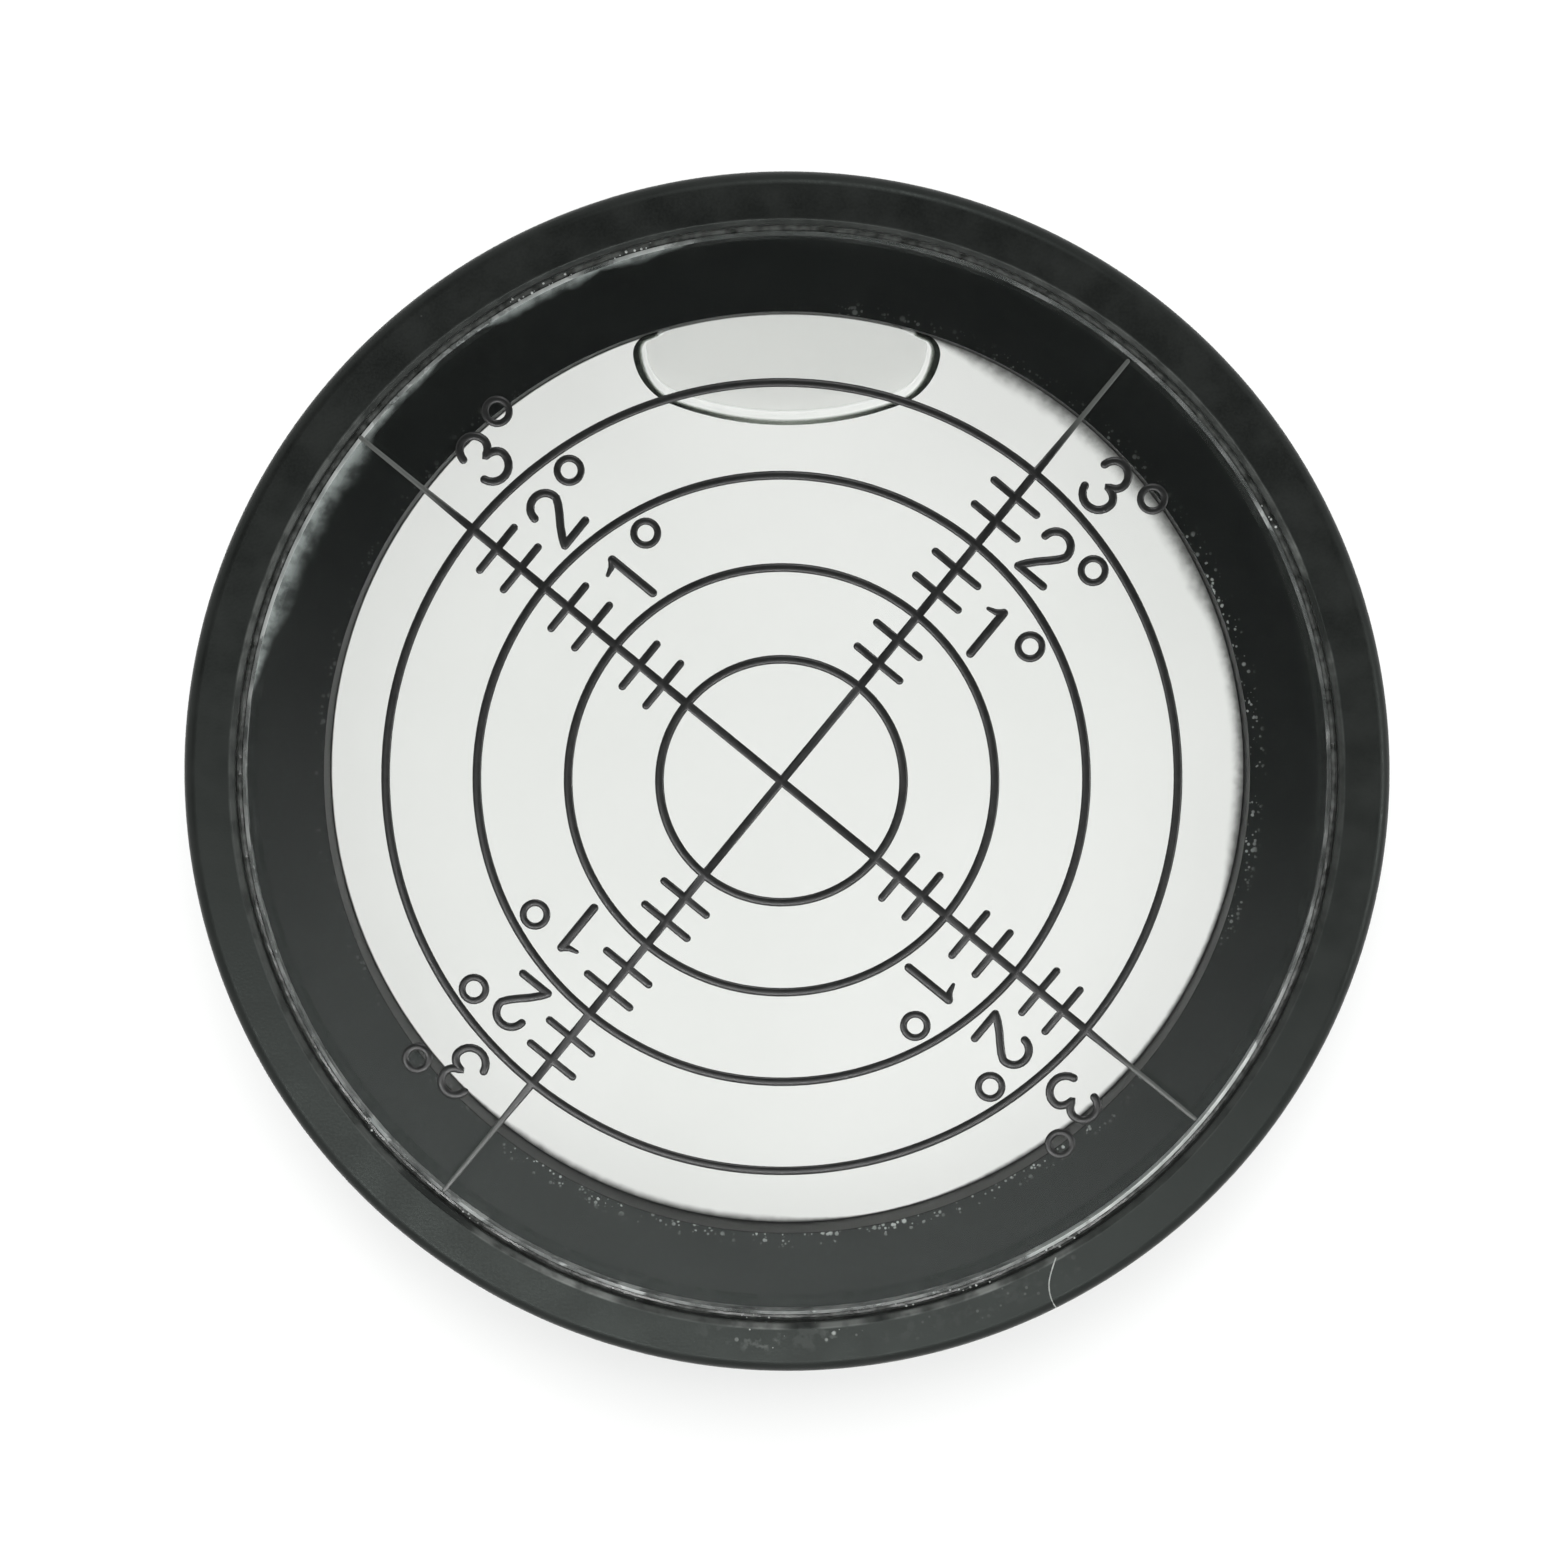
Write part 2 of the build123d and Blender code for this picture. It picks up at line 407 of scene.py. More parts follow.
# Painted shade: the dial's colour darkens towards its edge, reaching furthest in where the runs are
# strongest.
reach = scaled(tree, mark_of(tree, "painted_edge_shade"), painted_shade_reach * mm, painted_shade_least * mm)
shade_wobble = product_of(tree, sum_of(tree, cloud(tree, 2600, 5), 0.5, operation="SUBTRACT"), 0.4)
depth = sum_of(tree, past_radius(tree, painted_shade_radius), reach, operation="DIVIDE")
painted_edge_shade = stepped(tree, sum_of(tree, depth, shade_wobble, 1), 0.0, 1.15, 0.0, 0.94)
colour = tinted(tree, painted_edge_shade, colour, (0.03, 0.032, 0.03, 1))
freckle = product_of(tree, specks(tree, 260, 0.045, 0.06), 0.35)
colour = tinted(tree, freckle, colour, (0.25, 0.26, 0.25, 1))
coat(output, "ShaderNodeBsdfPrincipled", Base_Color=colour, Normal=relief_of(tree, fine, 0.15, 0.02),
     Roughness=stepped(tree, fine, 0.3, 0.7, 0.55, 0.7), Specular_IOR_Level=0.10)

dial_disc = turned("dial_disc", eased([
    (0, floor_top, 0),
    (dial_radius, floor_top, 0.05),
    (dial_radius, dial_top, 0.03),
    (painted_shade_ring, dial_top, 0),
    (0, dial_top, 0),
]))
# Where the painted shade of the wall reaches furthest in along the dial's edge.
painted_shade_runs = ((28, 66, 0.80), (66, 98, 0.50), (98, 150, 0.15), (182, 214, 0.28))
mark_runs(dial_disc, "painted_edge_shade", painted_shade_runs, fade=12)
dial_disc.data.materials.append(dial_white)
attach(dial_disc, "root")
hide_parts("dial")

# LIQUID
# Clear spirit between the dial and the hollowed lens. It touches both and the vial's wall, and is
# kept a hair short of them so that no two faces share a place.
hair = 0.02
degree_step = 4.545
hollow_radius = degree_step / tan(radians(1))
hollow_centre = ledge_height - sqrt(hollow_radius ** 2 - vial_radius ** 2)


def under_lens(radius, below=0.0):
    """Height of the lens's spherical underside at a radius, or so far below it."""
    return hollow_centre + sqrt((hollow_radius - below) ** 2 - radius ** 2)


spirit, tree, output = finish_named("clear_spirit")
pale = graded(tree, cloud(tree, 60, 0), (0.3, (0.985, 0.990, 0.985)), (0.7, (0.990, 0.994, 0.990)))
coat(output, "ShaderNodeBsdfTransparent", Color=pale)

dome_steps = 14
liquid_edge = vial_radius - hair
liquid_outline = [(0, dial_top + hair), (liquid_edge, dial_top + hair)]
for step in range(dome_steps + 1):
    radius = liquid_edge * (1 - step / dome_steps)
    liquid_outline.append((radius, under_lens(radius, hair)))
liquid_fill = turned("liquid_fill", liquid_outline, steps=192)
liquid_fill.data.materials.append(spirit)
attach(liquid_fill, "root")
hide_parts("liquid")

# BUBBLE
# The gas left in the vial. Standing on its rim, the level holds it against the top of the wall,
# squeezed between dial and lens into a long oval with rounded sides. The dark outline and pale band that
# light bent by those sides would give are painted: painted shade and painted highlight that follow the depth
# inside the edge.
bubble_length = 15.40
bubble_width = 7.70
bubble_past_wall = 2.22
bubble_film = 0.12
wall_film = 0.04
end_radius = 3.00
corner_radius = 1.00
bubble_wall = vial_radius - wall_film
half_length = bubble_length / 2 - end_radius
half_width = bubble_width / 2 - end_radius
belly = (half_length ** 2 + half_width ** 2) / (2 * half_width)
middle_height = vial_radius - bubble_film + bubble_past_wall - bubble_width / 2


def meeting(outer, centre, inner):
    """Point right of the middle where a circle on the axis crosses one about a centre."""
    distance = centre.length
    along = (outer ** 2 - inner ** 2 + distance ** 2) / (2 * distance)
    across = sqrt(outer ** 2 - along ** 2)
    unit = centre / distance
    return unit * along + Vector((unit.y, -unit.x)) * across


tip = Vector((half_length, middle_height))
corner = meeting(bubble_wall - corner_radius, tip, end_radius - corner_radius)
low_centre = Vector((0, middle_height + belly - half_width))
low_turn = atan2(tip.y - low_centre.y, tip.x - low_centre.x)
side_turn = atan2(corner.y - tip.y, corner.x - tip.x)
wall_turn = atan2(corner.y, corner.x)
fade_turn = wall_turn + 0.07
# Looks of the edge: depth of the rounded side, width of its painted dark outline (painted shade), and how
# pale that outline is from 0 to 1 (painted highlight). Each arc of the right half: centre, radius, first and
# last angle, number of points, and the looks at its two ends.
low_look = (1.55, 0.24, 0.22)
tip_look = (1.50, 0.25, 0.16)
side_look = (0.90, 0.50, 0.0)
corner_look = (0.34, 0.32, 0.0)
wall_look = (0.10, 0.05, 0.85)
axis = Vector((0, 0))
right_arcs = (
    (low_centre, belly + end_radius, -pi / 2, low_turn, 30, low_look, tip_look),
    (tip, end_radius, low_turn, side_turn, 24, tip_look, side_look),
    (corner, corner_radius, side_turn, wall_turn, 20, side_look, corner_look),
    (axis, bubble_wall, wall_turn, fade_turn, 12, corner_look, wall_look),
    (axis, bubble_wall, fade_turn, pi / 2, 24, wall_look, wall_look),
)
stations = []
for centre, radius, first, last, count, start, end in right_arcs:
    for step in range(count):
        share = step / count
        slow = share * share * (3 - 2 * share)
        look = [a + (b - a) * slow for a, b in zip(start, end)]
        stations.append((centre, radius, first + (last - first) * share, *look))
stations.append((axis, bubble_wall, pi / 2, *wall_look))
for centre, radius, angle, *look in stations[-2:0:-1]:
    stations.append((Vector((-centre.x, centre.y)), radius, pi - angle, *look))

band_depth = 0.80
outline_end = 0.25
band_end = 0.84


def outline_share(depth, outline):
    """Depth in mm inside the edge, as a share with set values where the painted dark outline and the painted
    pale band end.
    """
    if depth < outline:
        return outline_end * depth / outline
    return outline_end + (band_end - outline_end) * (depth - outline) / (band_depth - outline)


rounding_steps = 14
flat_steps = 5
innermost = 0.04
last_flat = 0.98
form = bmesh.new()
from_outline = form.verts.layers.float.new("from_outline")
rings = []
for top_half in (False, True):
    levels = [(1.0, step / flat_steps, 0.0) for step in range(flat_steps)] + [(1.0, last_flat, 0.0)]
    for step in range(rounding_steps + 1):
        slope = pi * step / rounding_steps / 2
        levels.append((1 - sin(slope), 1.0, 1 - cos(slope)))
    for inward, outward, rise in (levels[::-1] if top_half else levels):
        ring = []
        for centre, radius, angle, rounding, outline, paleness in stations:
            spot = centre + Vector((cos(angle), sin(angle))) * (radius - inward * rounding)
            spot = Vector((0, middle_height)).lerp(spot, innermost + (1 - innermost) * outward)
            low = dial_top + bubble_film
            high = under_lens(spot.length, bubble_film)
            half_height = (high - low) / 2
            height = high - half_height * rise if top_half else low + half_height * rise
            ring.append(form.verts.new((spot.x * mm, spot.y * mm, height * mm)))
            ring[-1][from_outline] = 1.0
            if top_half and outward == 1:
                ring[-1][from_outline] = max(paleness, outline_share(inward * rounding, outline))
        rings.append(ring)
for ring, following in zip(rings, rings[1:]):
    for step in range(len(ring)):
        after = (step + 1) % len(ring)
        form.faces.new((ring[step], ring[after], following[after], following[step]))
form.faces.new(rings[0])
form.faces.new(rings[-1])
bmesh.ops.remove_doubles(form, verts=form.verts, dist=1e-7)
bmesh.ops.recalc_face_normals(form, faces=form.faces)
bubble_gas = finished("bubble_gas", form, crease=80)

gas, tree, output = finish_named("gas_in_spirit")
# Painted shade and painted highlight: the tint darkens the outline, and white diffuse lightens the band and
# the inside, in place of light bent by the rounded sides.
shade = graded(tree, mark_of(tree, "from_outline"), (0.16, (0.03, 0.034, 0.03)), (0.22, (0.24, 0.26, 0.23)),
               (0.31, (0.98, 1.0, 0.98)), (0.70, (1.0, 1.0, 1.0)), (0.76, (0.82, 0.84, 0.82)),
               (0.84, (0.905, 0.91, 0.90)))
painted_light_share = graded(tree, mark_of(tree, "from_outline"), (0.22, (0, 0, 0)), (0.34, (0.6, 0.6, 0.6)),
               (0.66, (0.5, 0.5, 0.5)), (0.76, (0.14, 0.14, 0.14)))
clear = wire(tree, "ShaderNodeBsdfTransparent", Color=shade)
painted_light = wire(tree, "ShaderNodeBsdfDiffuse", Color=(0.97, 0.98, 0.97, 1))
coat(output, "ShaderNodeMixShader", painted_light_share, clear.outputs[0], painted_light.outputs[0])

gas_below, tree, output = finish_named("gas_over_dial")
shade = graded(tree, cloud(tree, 80, 0), (0.3, (0.996, 0.998, 0.996)), (0.7, (1.0, 1.0, 1.0)))
coat(output, "ShaderNodeBsdfTransparent", Color=shade)
for finish in (gas, gas_below):
    bubble_gas.data.materials.append(finish)
for face in bubble_gas.data.polygons:
    face.material_index = 1 if face.normal.z < -0.02 else 0
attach(bubble_gas, "root")
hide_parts("bubble")

# LENS
# Window turned from clear acrylic: polished flat above, hollowed to a shallow sphere below, its top
# edge broken with a tool that left it white and chipped. The white also stands in for glints along that edge,
# a painted highlight. It lies on the ledge.
lens_top = 11.55
lens_edge_break = 0.20
acrylic_index = 1.49
wet_index = 1.035


def clear_finish(name, ior):
    """Clear material that bends the view and lets the light of lamps and walls straight through."""
    finish, tree, output = finish_named(name)
    pale = graded(tree, cloud(tree, 80, 0), (0.3, (0.992, 0.995, 0.991)), (0.7, (0.998, 1.0, 0.997)))
    clear = wire(tree, "ShaderNodeBsdfGlass", IOR=ior, Roughness=0.0, Color=pale)
    through = wire(tree, "ShaderNodeBsdfTransparent")
    path = wire(tree, "ShaderNodeLightPath")
    soft_ray = highest_of(tree, path.outputs["Is Shadow Ray"], path.outputs["Is Diffuse Ray"])
    coat(output, "ShaderNodeMixShader", soft_ray, clear.outputs[0], through.outputs[0])
    return finish


acrylic = clear_finish("clear_acrylic", acrylic_index)
acrylic_wet = clear_finish("acrylic_against_spirit", wet_index)

# The broken edge's white is partly chips and partly a painted highlight where the edge glints.
acrylic_edge, tree, output = finish_named("acrylic_broken_edge")
chip_and_glint_noise = cloud(tree, 1900, 4)
streaks = cloud(tree, 600, 3)
chip_and_glint_mark = mark_of(tree, "edge_chips_and_glints")
scrapes_and_glints = stepped(tree, sum_of(tree, chip_and_glint_mark, streaks), 0.5, 1.4, 0.05, 0.60)
chips_and_glints = stepped(tree, sum_of(tree, chip_and_glint_mark, chip_and_glint_noise), 1.00, 1.28, 0.0, 0.95)
clear = wire(tree, "ShaderNodeBsdfGlass", IOR=acrylic_index, Roughness=0.18, Color=(0.9, 0.92, 0.9, 1))
chip_and_glint_colour = graded(tree, streaks, (0.3, (0.40, 0.43, 0.42)), (0.7, (0.84, 0.87, 0.85)))
white_chips_and_glints = wire(tree, "ShaderNodeBsdfDiffuse", Color=chip_and_glint_colour)
coat(output, "ShaderNodeMixShader", highest_of(tree, scrapes_and_glints, chips_and_glints), clear.outputs[0], white_chips_and_glints.outputs[0])

lens_outline = [(0, under_lens(0)), (0, lens_top)]
lens_outline += eased([
    (0, lens_top, 0),
    (lens_radius - lens_edge_break, lens_top, 0.04),
    (lens_radius, lens_top - lens_edge_break, 0.05),
    (lens_radius, ledge_height + hair, 0),
    (vial_radius, ledge_height + hair, 0),
])[1:-1]
for step in range(dome_steps):
    radius = vial_radius * (1 - step / dome_steps)
    lens_outline.append((radius, under_lens(radius) + hair * (step == 0)))
lens_window = turned("lens_window", lens_outline, crease=25)
# Runs of the edge's chips and of its painted glints.
edge_chips_and_glints = ((0, 25, 0.05), (25, 60, 0.30), (60, 62, 0.75), (62, 72, 0.30), (72, 78, 0.30), (78, 104, 0.22),
              (104, 112, 0.50), (112, 120, 0.5), (120, 146, 0.85), (147, 152, 1.1), (153, 180, 0.5),
              (180, 196, 0.45), (196, 198, 0.95), (199, 214, 0.5), (215, 217, 0.95), (218, 228, 0.45),
              (228.5, 230, 1.0), (231, 286, 0.45), (286, 310, 1.0), (310, 330, 0.6), (330, 338, 0.75),
              (342, 346, 1.0), (346, 350, 0.6), (350, 360, 0.1))
mark_runs(lens_window, "edge_chips_and_glints", edge_chips_and_glints)
for finish in (acrylic, acrylic_wet, acrylic_edge):
    lens_window.data.materials.append(finish)
for face in lens_window.data.polygons:
    if face.normal.z < -0.5 and off_axis(face) < vial_radius:
        face.material_index = 1
    elif off_axis(face) > lens_radius - lens_edge_break - 0.01 and face.normal.z < 0.98:
        face.material_index = 2
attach(lens_window, "root")
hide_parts("lens")

# GLUE
# Solvent cement run into the gap round the lens, where it fills most of the depth and has dried with
# an uneven, slightly hollow top.
bond_low = 11.16
bond_at_lens = 11.26
bond_at_case = 11.30
lump_height = 0.10
lump_sag = 0.04
bond, tree, output = finish_named("dried_cement")
lumps = cloud(tree, 1900, 4)
colour = graded(tree, lumps, (0.35, (0.020, 0.022, 0.020)), (0.65, (0.085, 0.090, 0.086)))
coat(output, "ShaderNodeBsdfPrincipled", Base_Color=colour, Roughness=0.25,
     Normal=relief_of(tree, lumps, 0.6, 0.06))

bond_ring = turned("bond_ring", [
    (lens_radius + 0.01, ledge_height + 0.01),
    (lens_radius + 0.01, bond_at_lens),
    (lens_radius + 0.09, bond_low),
    (lens_radius + 0.21, bond_low),
    (pocket_radius - 0.01, bond_at_case),
    (pocket_radius - 0.01, ledge_height + 0.01),
])
for vertex in bond_ring.data.vertices:
    if vertex.co.z > 11 * mm:
        vertex.co.z += (noise.noise(vertex.co * 900) * lump_height - lump_sag) * mm
bond_ring.data.materials.append(bond)
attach(bond_ring, "root")
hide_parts("lens_bond")

# GRADUATION
# Rings, cross, ticks and numerals screen-printed on the lens in thick glossy black ink. Each line
# stands up as a low rounded bead. The print sits a little off the axis, turned as the lens was fitted.
zero_ring_radius = 6.07
degree_rings = 3
ticks_per_degree = 3
cross_arms = 4
ring_line_width = 0.44
ink_height = 0.06
stroke = 0.42
arm_sheen_from = 20.5
arm_sheen_full = 24.0
last_ring = zero_ring_radius + degree_rings * degree_step
print_turn = radians(50.65)
print_place = (-0.235 * mm, 0.03 * mm, lens_top * mm)


def open_curve(name):
    """New curve in space, without any line yet."""
    curve = bpy.data.curves.new(name, "CURVE")
    curve.dimensions = "3D"
    return curve


def bow(centre, radii, first, last, count=10):
    """Points on an oval arc (across, outward) between two angles in degrees."""
    turn = [radians(first + (last - first) * step / count) for step in range(count + 1)]
    return [(centre[0] + radii[0] * cos(a), centre[1] + radii[1] * sin(a)) for a in turn]


def rounded_end(end, inner, half, steps=4):
    """Points and half widths of the round cap at one end of a line, from the tip inwards."""
    inward = (inner - end).normalized()
    turns = [pi / 2 * step / steps for step in range(steps)]
    return [(end - inward * half * cos(turn), half * sin(turn)) for turn in turns]


def ink_line(curve, line, width, closed=False, widths=None):
    """Add one inked line to a curve: points (across, outward) in mm, ends rounded off."""
    points = [Vector(point) for point in line]
    halves = [w / 2 for w in widths] if widths else [width / 2] * len(points)
    if not closed:
        lead = rounded_end(points[0], points[1], halves[0])
        trail = rounded_end(points[-1], points[-2], halves[-1])[::-1]
        points = [point for point, half in lead] + points + [point for point, half in trail]
        halves = [half for point, half in lead] + halves + [half for point, half in trail]
    spline = curve.splines.new("POLY")
    spline.points.add(len(points) - 1)
    spline.use_cyclic_u = closed
    for knot, point, half in zip(spline.points, points, halves):
        knot.co = (point.y * mm, -point.x * mm, 0, 1)
        knot.radius = max(half, 0.004) * mm


def ink_object(name, *lines):
    """Curve object of inked lines, each given as its points, its width and, if it is round, True."""
    curve = open_curve(name)
    for line in lines:
        ink_line(curve, *line)
    return placed(name, curve)


arm_end = 26.82
taper_end = last_ring + 3.5
arm_stops = (-arm_end, -taper_end, -last_ring, last_ring, taper_end, arm_end)
arm_widths = (0.22, 0.26, 0.43, 0.43, 0.26, 0.22)
cross_line = ink_object("cross_line", ([(0, stop) for stop in arm_stops], 0, False, arm_widths))
tick_line = ink_object("tick_line", ([(-1.35, 0), (0, 0), (1.35, 0)], 0.40))
three = bow((3.06, 22.10), (0.71, 0.72), 170, 0) + bow((3.06, 22.10), (0.71, 0.62), -8, -80)
three += bow((3.06, 20.92), (0.80, 0.57), 80, 0) + bow((3.06, 20.92), (0.80, 0.78), -8, -172)
two = bow((3.08, 17.62), (0.74, 0.72), 175, -10, 14)
two += [(3.62, 17.22), (3.30, 16.88), (2.86, 16.46), (2.50, 16.05), (2.32, 15.80), (2.28, 15.70)]
stem = [(3.20, 10.86), (3.20, 13.44)]
degree_signs = []
for outward in (22.42, 17.86, 12.99):
    degree_signs.append((bow((5.27, outward), (0.595, 0.595), 0, 345, 23), 0.36, True))
numerals = ink_object("numerals", (three, stroke), (two, stroke), (stem, 0.45), *degree_signs)
foot = [(2.26, 15.69), (3.86, 15.69)]
flag = [(3.20, 13.44), (2.85, 13.22), (2.46, 13.13)]
numeral_strokes = ink_object("numeral_strokes", (foot, stroke), (flag, 0, False, (0.40, 0.32, 0.20)))

ink, tree, output = finish_named("gloss_black_ink")
sheen = cloud(tree, 3000, 3)
colour = graded(tree, cloud(tree, 900, 3), (0.3, (0.0050, 0.0054, 0.0052)), (0.7, (0.0090, 0.0096, 0.0092)))
from_print = wire(tree, "ShaderNodeVectorMath", place_on_piece(tree), print_place, operation="SUBTRACT")
unturned = wire(tree, "ShaderNodeVectorRotate", from_print.outputs[0], rotation_type="Z_AXIS",
                Angle=-print_turn)
across = wire(tree, "ShaderNodeVectorMath", unturned.outputs[0], operation="ABSOLUTE")
across = wire(tree, "ShaderNodeSeparateXYZ", across.outputs[0]).outputs
# The arms' ends over the dark ledge are lighter grey: a painted highlight of the ink catching light.
on_arm = stepped(tree, sum_of(tree, across[0], across[1], operation="MINIMUM"), 0.40 * mm, 0.30 * mm)
painted_arm_sheen = product_of(tree, on_arm, stepped(tree, from_axis(tree), arm_sheen_from * mm, arm_sheen_full * mm))
colour = tinted(tree, painted_arm_sheen, colour, (0.080, 0.086, 0.080, 1))
coat(output, "ShaderNodeBsdfPrincipled", Base_Color=colour, Specular_IOR_Level=0.45,
     Roughness=stepped(tree, sheen, 0.3, 0.7, 0.28, 0.36))


def shape_tree(name, inputs):
    """Geometry Nodes tree with inputs (name, kind): the tree, their identifiers and their sockets."""
    tree = bpy.data.node_groups.new(name, "GeometryNodeTree")
    identifiers = {}
    for label, kind in inputs:
        socket = tree.interface.new_socket(label, in_out="INPUT", socket_type=f"NodeSocket{kind}")
        identifiers[label] = socket.identifier
    tree.interface.new_socket("Geometry", in_out="OUTPUT", socket_type="NodeSocketGeometry")
    return tree, identifiers, tree.nodes.new("NodeGroupInput").outputs


def close_tree(tree, shape, finish):
    """End a tree with its shape made real and given its material."""
    whole = wire(tree, "GeometryNodeRealizeInstances", shape)
    coated = wire(tree, "GeometryNodeSetMaterial", whole.outputs[0], Material=finish)
    tree.links.new(coated.outputs[0], tree.nodes.new("NodeGroupOutput").inputs[0])


print_tree, sockets, given = shape_tree("graduation_print", (
    ("Geometry", "Geometry"), ("Tick", "Object"), ("Numerals", "Object"), ("Numeral strokes", "Object"),
    ("Degree rings", "Int"), ("Ticks per degree", "Int"), ("Arms", "Int"), ("Zero ring radius", "Float"),
    ("Degree step", "Float"), ("Ring line width", "Float"), ("Ink height", "Float"),
    ("Print turn", "Float"), ("Print place", "Vector"), ("Ink", "Material"),
))
bead_profile = wire(print_tree, "GeometryNodeCurvePrimitiveCircle", Resolution=14, Radius=1.0).outputs[0]
half_line = product_of(print_tree, given["Ring line width"], 0.5)


def counted(tree, count):
    """So many points in one place, and their number from nought."""
    return (wire(tree, "GeometryNodePoints", Count=count).outputs[0],
            wire(tree, "GeometryNodeInputIndex").outputs[0])


def round_the_cross(tree, shape, arms):
    """A shape repeated on every arm of the cross."""
    points, number = counted(tree, arms)
    turn = product_of(tree, sum_of(tree, number, given["Arms"], operation="DIVIDE"), 2 * pi)
    return wire(tree, "GeometryNodeInstanceOnPoints", points, Instance=shape,
                Rotation=wire(tree, "ShaderNodeCombineXYZ", 0.0, 0.0, turn).outputs[0]).outputs[0]


def beaded(tree, lines):
    """Lines swept to rounded beads of ink, flat underneath, that stand on the lens."""
    lines = wire(tree, "GeometryNodeRealizeInstances", lines).outputs[0]
    beads = wire(tree, "GeometryNodeCurveToMesh", lines, Profile_Curve=bead_profile, Fill_Caps=True)
    if "Scale" in beads.inputs:
        tree.links.new(wire(tree, "GeometryNodeInputRadius").outputs[0], beads.inputs["Scale"])
    where = wire(tree, "ShaderNodeSeparateXYZ", wire(tree, "GeometryNodeInputPosition").outputs[0])
    flatter = sum_of(tree, given["Ink height"], half_line, operation="DIVIDE")
    height = highest_of(tree, product_of(tree, where.outputs[2], flatter), -0.004 * mm)
    place = wire(tree, "ShaderNodeCombineXYZ", where.outputs[0], where.outputs[1], height).outputs[0]
    return wire(tree, "GeometryNodeSetPosition", beads.outputs[0], Position=place).outputs[0]


def shape_of(tree, name):
    """The shape of an object given to the tree."""
    return wire(tree, "GeometryNodeObjectInfo", given[name]).outputs["Geometry"]


tick_places = product_of(print_tree, given["Degree rings"], given["Ticks per degree"])
points, number = counted(print_tree, sum_of(print_tree, tick_places, 1, operation="SUBTRACT"))
rank = sum_of(print_tree, number, 1)
pitch = sum_of(print_tree, given["Degree step"], given["Ticks per degree"], operation="DIVIDE")
along = sum_of(print_tree, given["Zero ring radius"], product_of(print_tree, rank, pitch))
spots = wire(print_tree, "GeometryNodeSetPosition", points,
             Position=wire(print_tree, "ShaderNodeCombineXYZ", along).outputs[0])
left_over = sum_of(print_tree, rank, given["Ticks per degree"], operation="MODULO")
on_ring = sum_of(print_tree, left_over, 0.5, operation="LESS_THAN")
spots = wire(print_tree, "GeometryNodeDeleteGeometry", spots.outputs[0], on_ring)
ticks = wire(print_tree, "GeometryNodeInstanceOnPoints", spots.outputs[0],
             Instance=shape_of(print_tree, "Tick"))
points, number = counted(print_tree, sum_of(print_tree, given["Degree rings"], 1))
beyond_zero = product_of(print_tree, number, given["Degree step"])
ring_size = sum_of(print_tree, given["Zero ring radius"], beyond_zero)
circle = wire(print_tree, "GeometryNodeCurvePrimitiveCircle", Resolution=300, Radius=1.0)
circle = wire(print_tree, "GeometryNodeSetCurveRadius", circle.outputs[0], Radius=half_line)
circles = wire(print_tree, "GeometryNodeInstanceOnPoints", points, Instance=circle.outputs[0],
               Scale=wire(print_tree, "ShaderNodeCombineXYZ", ring_size, ring_size, ring_size).outputs[0])
quarter = wire(print_tree, "GeometryNodeTransform", given["Geometry"], Rotation=(0, 0, pi / 2)).outputs[0]
print_parts = [
    circles.outputs[0],
    given["Geometry"],
    quarter,
    round_the_cross(print_tree, ticks.outputs[0], given["Arms"]),
    round_the_cross(print_tree, shape_of(print_tree, "Numerals"), given["Arms"]),
    round_the_cross(print_tree, shape_of(print_tree, "Numeral strokes"), given["Arms"]),
]
union = wire(print_tree, "GeometryNodeMeshBoolean", operation="UNION", solver="MANIFOLD")
for part in print_parts:
    print_tree.links.new(beaded(print_tree, part), union.inputs["Mesh 2"])
laid = wire(print_tree, "GeometryNodeTransform", union.outputs[0], Translation=given["Print place"],
            Rotation=wire(print_tree, "ShaderNodeCombineXYZ", 0.0, 0.0, given["Print turn"]).outputs[0])
close_tree(print_tree, laid.outputs[0], given["Ink"])


def plain_mesh(name, base):
    """Plain mesh of a base object as it shows with its modifiers, after which the base is removed."""
    bpy.context.view_layer.update()
    graph = bpy.context.evaluated_depsgraph_get()
    mesh = bpy.data.meshes.new_from_object(base.evaluated_get(graph), depsgraph=graph)
    mesh.name = name
    base.modifiers.clear()
    bpy.data.objects.remove(base)
    return mesh


def made_by(tree, identifiers, base, name, **inputs):
    """Plain object that a Geometry Nodes tree makes from a base object."""
    modifier = base.modifiers.new(name, "NODES")
    modifier.node_group = tree
    for key, value in inputs.items():
        modifier[identifiers[key.replace("_", " ")]] = value
    return placed(name, plain_mesh(name, base))


graduation_ink = made_by(
    print_tree, sockets, cross_line, "graduation_ink",
    Tick=tick_line, Numerals=numerals, Numeral_strokes=numeral_strokes,
    Degree_rings=degree_rings, Ticks_per_degree=ticks_per_degree, Arms=cross_arms,
    Zero_ring_radius=zero_ring_radius * mm, Degree_step=degree_step * mm,
    Ring_line_width=ring_line_width * mm, Ink_height=ink_height * mm,
    Print_turn=print_turn, Print_place=print_place, Ink=ink,
)
for drawn in (tick_line, numerals, numeral_strokes):
    bpy.data.objects.remove(drawn)
graduation_ink.data.polygons.foreach_set("use_smooth", [True] * len(graduation_ink.data.polygons))
graduation_ink.data.set_sharp_from_angle(angle=radians(60))
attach(graduation_ink, "root")
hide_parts("graduation")

